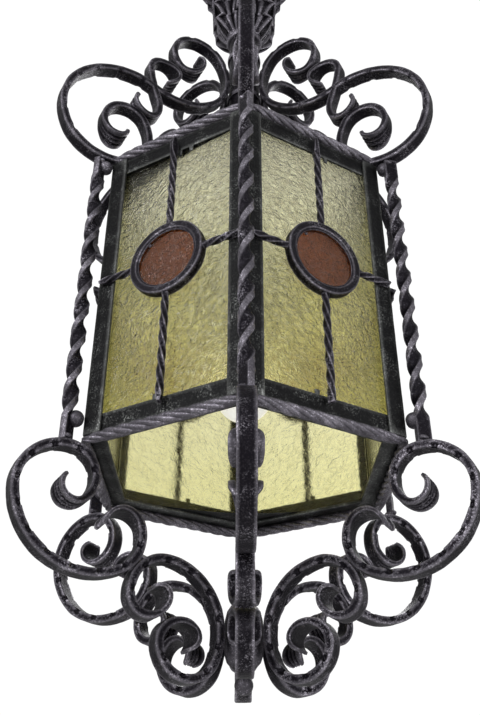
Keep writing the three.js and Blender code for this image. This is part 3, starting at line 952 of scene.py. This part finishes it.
def leaf():
    """One acanthus leaf: a grid drawn out to the leaf's outline, its veins raised and its edges cupped."""
    length = arc_length(LEAF_ARCS)
    bpy.ops.mesh.primitive_grid_add(x_subdivisions=72, y_subdivisions=28, size=1,
                                    location=(length / 2, 0, 0), rotation=(math.pi / 2, 0, 0))
    blade = sized((length, 1, 1), "leaf")
    for v in blade.data.vertices:
        t = v.co.x / length
        u = 2 * v.co.z
        lean = 1 - 0.16 * abs(u) ** 1.5
        v.co.x = length * (t + 0.10 * abs(u) ** 1.6 * min(1, 3 * t)) * lean + length * 0.05 * abs(u) * t
        v.co.z = u * leaf_half_width(t) * MM
        veins = 1.9 * math.cos(u * 3.5 * math.pi) * min(1, 5 * t) * (1 - 0.6 * t)
        midrib = 2.6 * math.exp(-(u / 0.13) ** 2) * (1 - 0.5 * t)
        cup = 7.5 * u * u * math.sin(math.pi * min(1, t * 1.05)) - midrib
        v.co.y = (veins - cup) * MM
    bent(blade, (23, 641), 54, LEAF_ARCS)
    modified(blade, "SOLIDIFY", thickness=LEAF_SHEET, offset=0)
    only(blade)
    edit()
    outward()
    done()
    return blade


def leaf_crown():
    model = leaf()
    leaves = [turned_copy(model, "leaf", side_angle(i)) for i in range(LEAF_COUNT)]
    bpy.data.objects.remove(model)
    collar = turned([(21.4, 636), (23.4, 636.4), (24.6, 640), (24.8, 645), (24.6, 650), (23.4, 653.6),
                     (21.4, 654)])
    crown = joined([collar, *leaves], "acanthus_leaf_crown")
    fit_out(smooth(hammered(crown, 0.6 * MM), 45), FORGED, "lantern", "wrought_iron", "leaf_crown")


# ---------- lamp ----------
def lampholder():
    ribs = [(20 - 0.45 * (i % 2), 126 + 1.5 * i) for i in range(20)]
    socket = [(0.5, 152), (13.6, 151.5), (14, 150), (14, 125), (14.6, 124.2), (19.4, 124), (20, 124.8)]
    cover = [(19.8, 157), (16.5, 161.5), (13, 178.5), (12.5, 180), (10.8, 180.4), (10.5, 185.3), (9.6, 186),
             (7.2, 186)]
    holder = turned(socket + ribs + cover)
    placed(holder, "ribbed_lampholder")
    fit_out(smooth(holder, 35), PLASTIC, "lantern", "holder_plastic", "lampholder")


def bulb():
    globe = arc(30, 70, -89, 52, 26)
    neck = [(16.5, 99.5), (15.2, 105), (14.8, 113)]
    glass = turned(globe + neck + [(13.4, 114), (0.4, 114.5)], 56)
    thread = [(13.3 - 0.8 * (0.5 + 0.5 * math.cos(i * math.pi / 2)), 121 + 0.9 * i) for i in range(26)]
    cap = turned([(12.9, 113.6), (14.3, 113.8), (14.3, 117), (13.3, 119)] + thread
                 + [(9, 146), (4.4, 147.4), (4, 148), (0.6, 148)], 48)
    glass.data.materials.append(OPAL)
    cap.data.materials.append(CAP_METAL)
    whole = joined([glass, cap], "opal_globe_bulb")
    smooth(whole, 50)
    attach(whole, "bulb")
    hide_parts("bulb")


# ---------- suspension ----------
def hanging_ring():
    """Round bar bent to a ring and forge-welded, a little thicker at the weld."""
    low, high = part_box("hanging_ring")
    middle = (low.z + high.z) / 2
    bpy.ops.mesh.primitive_torus_add(major_segments=72, minor_segments=16, major_radius=RING_R,
                                     minor_radius=ROD_R, rotation=(0, math.pi / 2, 0),
                                     location=(0, 0, middle))
    ring = placed(bpy.context.object, "ring")
    edit()
    choose("VERT", lambda v: v.co.y > 24 * MM and abs(v.co.z - middle) < 14 * MM)
    bpy.ops.transform.resize(value=(1.1, 1.02, 1), center_override=(0, RING_R, middle))
    done()
    placed(ring, "forged_hanging_ring")
    fit_out(smooth(hammered(ring, 0.5 * MM), 60), FORGED, "ring", "wrought_iron", "hanging_ring")


def ceiling_hook():
    """Round bar bent to a hook, drawn down to a rounded tip."""
    lead = 5.4 * MM
    length = arc_length(HOOK_ARCS) + lead
    bpy.ops.mesh.primitive_cylinder_add(vertices=18, radius=ROD_R, depth=length, end_fill_type="NGON",
                                        rotation=(0, math.pi / 2, 0), location=(length / 2 - lead, 0, 0))
    rod = placed(bpy.context.object, "rod")
    edit()
    choose("EDGE", runs_along(0))
    bpy.ops.mesh.subdivide(number_cuts=80)
    end = length - lead
    for x in stations(rod):
        near = (end - x) / (34 * MM)
        if near < 1:
            thin = 0.62 + 0.38 * near
            if near < 0.12:
                thin = 0.62 + 0.5 * (0.12 - near)
            if near < 0.03:
                thin = 0.45
            choose_ring(x)
            bpy.ops.transform.resize(value=(1, thin, thin), center_override=(x, 0, 0))
    done()
    hook = bent(rod, (0, 943.7), -90, HOOK_ARCS)
    placed(hook, "forged_ceiling_hook")
    fit_out(smooth(hammered(hook, 0.5 * MM), 50), FORGED, "ceiling", "wrought_iron", "ceiling_hook")


def screw_head(angle, radius):
    """A domed, slotted screw head under the plate."""
    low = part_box("ceiling_plate")[1].z - 6 * MM
    half_slot = 0.7 * MM
    bpy.ops.mesh.primitive_uv_sphere_add(segments=24, ring_count=14, radius=5 * MM,
                                         location=(radius, 0, low))
    head = placed(bpy.context.object, "screw")
    edit()
    bpy.ops.mesh.select_all(action="SELECT")
    bpy.ops.transform.resize(value=(1, 1, 0.5), center_override=(radius, 0, low))
    bpy.ops.mesh.bisect(plane_co=(radius, half_slot, low), plane_no=(0, 1, 0))
    bpy.ops.mesh.select_all(action="SELECT")
    bpy.ops.mesh.bisect(plane_co=(radius, -half_slot, low), plane_no=(0, 1, 0))
    choose("FACE", lambda f: abs(f.calc_center_median().y) < half_slot
           and f.calc_center_median().z < low - 0.8 * MM)
    bpy.ops.mesh.extrude_region_move(TRANSFORM_OT_translate={"value": (0, 0, 0.9 * MM)})
    outward()
    done()
    head.data.transform(Matrix.Rotation(angle, 4, "Z"))
    return head


def ceiling_plate():
    boss = [(0.5, 949.5), (8.1, 949.5), (8, 940.2), (8.8, 939.4), (11.4, 939.4), (12.2, 940.2), (13.5, 944)]
    rim = [(18, 948.6), (24, 949.3), (51, 949.4), (55, 949.6), (58.6, 950.4), (60, 952), (60, 955.4)]
    plate = turned(boss + rim + [(0.5, 955.4)], 72)
    screws = [screw_head(math.radians(90 + 120 * i), 44 * MM) for i in range(3)]
    whole = joined([plate, *screws], "ceiling_plate_and_screws")
    fit_out(smooth(whole, 35), FORGED, "ceiling", "wrought_iron", "ceiling_plate")


# ---------- stage ----------
def camera():
    data = bpy.data.cameras.new("camera")
    data.lens = 41.64
    data.sensor_width = 36
    eye = bpy.data.objects.new("camera", data)
    bpy.context.collection.objects.link(eye)
    eye.location = (-0.0077, -0.7710, OPENING_BOTTOM - 0.3543)
    eye.rotation_euler = (math.radians(90 + 31.46), math.radians(-0.16), math.radians(-0.35))
    bpy.context.scene.camera = eye


def area_light(name, place, target, size, watts):
    data = bpy.data.lights.new(name, "AREA")
    data.size = size
    data.energy = watts
    lamp = bpy.data.objects.new(name, data)
    bpy.context.collection.objects.link(lamp)
    lamp.location = place
    lamp.rotation_euler = (Vector(target) - Vector(place)).to_track_quat("-Z", "Y").to_euler()
    lamp.visible_transmission = False


def studio():
    scene = bpy.context.scene
    scene.view_settings.view_transform = "Standard"
    world = bpy.data.worlds.new("studio")
    scene.world = world
    world.use_nodes = True
    tree = world.node_tree
    rays = node(tree, "ShaderNodeLightPath")
    backdrop = tree.nodes["Background"]
    backdrop.inputs["Color"].default_value = (1, 1, 1, 1)
    straight = maths(tree, "MULTIPLY", rays.outputs["Is Camera Ray"], 0.55)
    through = maths(tree, "MULTIPLY", rays.outputs["Is Transmission Ray"], 0.28)
    link(tree, maths(tree, "ADD", maths(tree, "ADD", straight, through), 0.5), backdrop.inputs["Strength"])
    middle = (0, 0, -0.75)
    area_light("key_light", (-1.5, -1.9, -0.2), middle, 1.2, 30)
    area_light("fill_light", (1.7, -1.5, -0.9), middle, 1.4, 15)
    area_light("rim_light", (0.6, 1.9, 0.2), middle, 1.2, 22)
    bpy.ops.mesh.primitive_plane_add(size=60, location=(0, 0, -2.3))
    floor = placed(bpy.context.object, "floor")
    material, tree, shader, place = new_material("pale_floor")
    link(tree, mixed(tree, noise(tree, place, 3, 3.0), (0.78, 0.78, 0.77), (0.84, 0.84, 0.83)),
         shader.inputs["Base Color"])
    shader.inputs["Roughness"].default_value = 0.8
    floor.data.materials.append(material)


camera()
studio()
rails()
posts()
rope_trims()
glass_panes()
red_lights()
glazing()
glass_clips()
twisted_corner_bars()
lower_scrolls()
upper_scrolls()
lower_hub()
stem()
leaf_crown()
lampholder()
bulb()
hanging_ring()
ceiling_hook()
ceiling_plate()
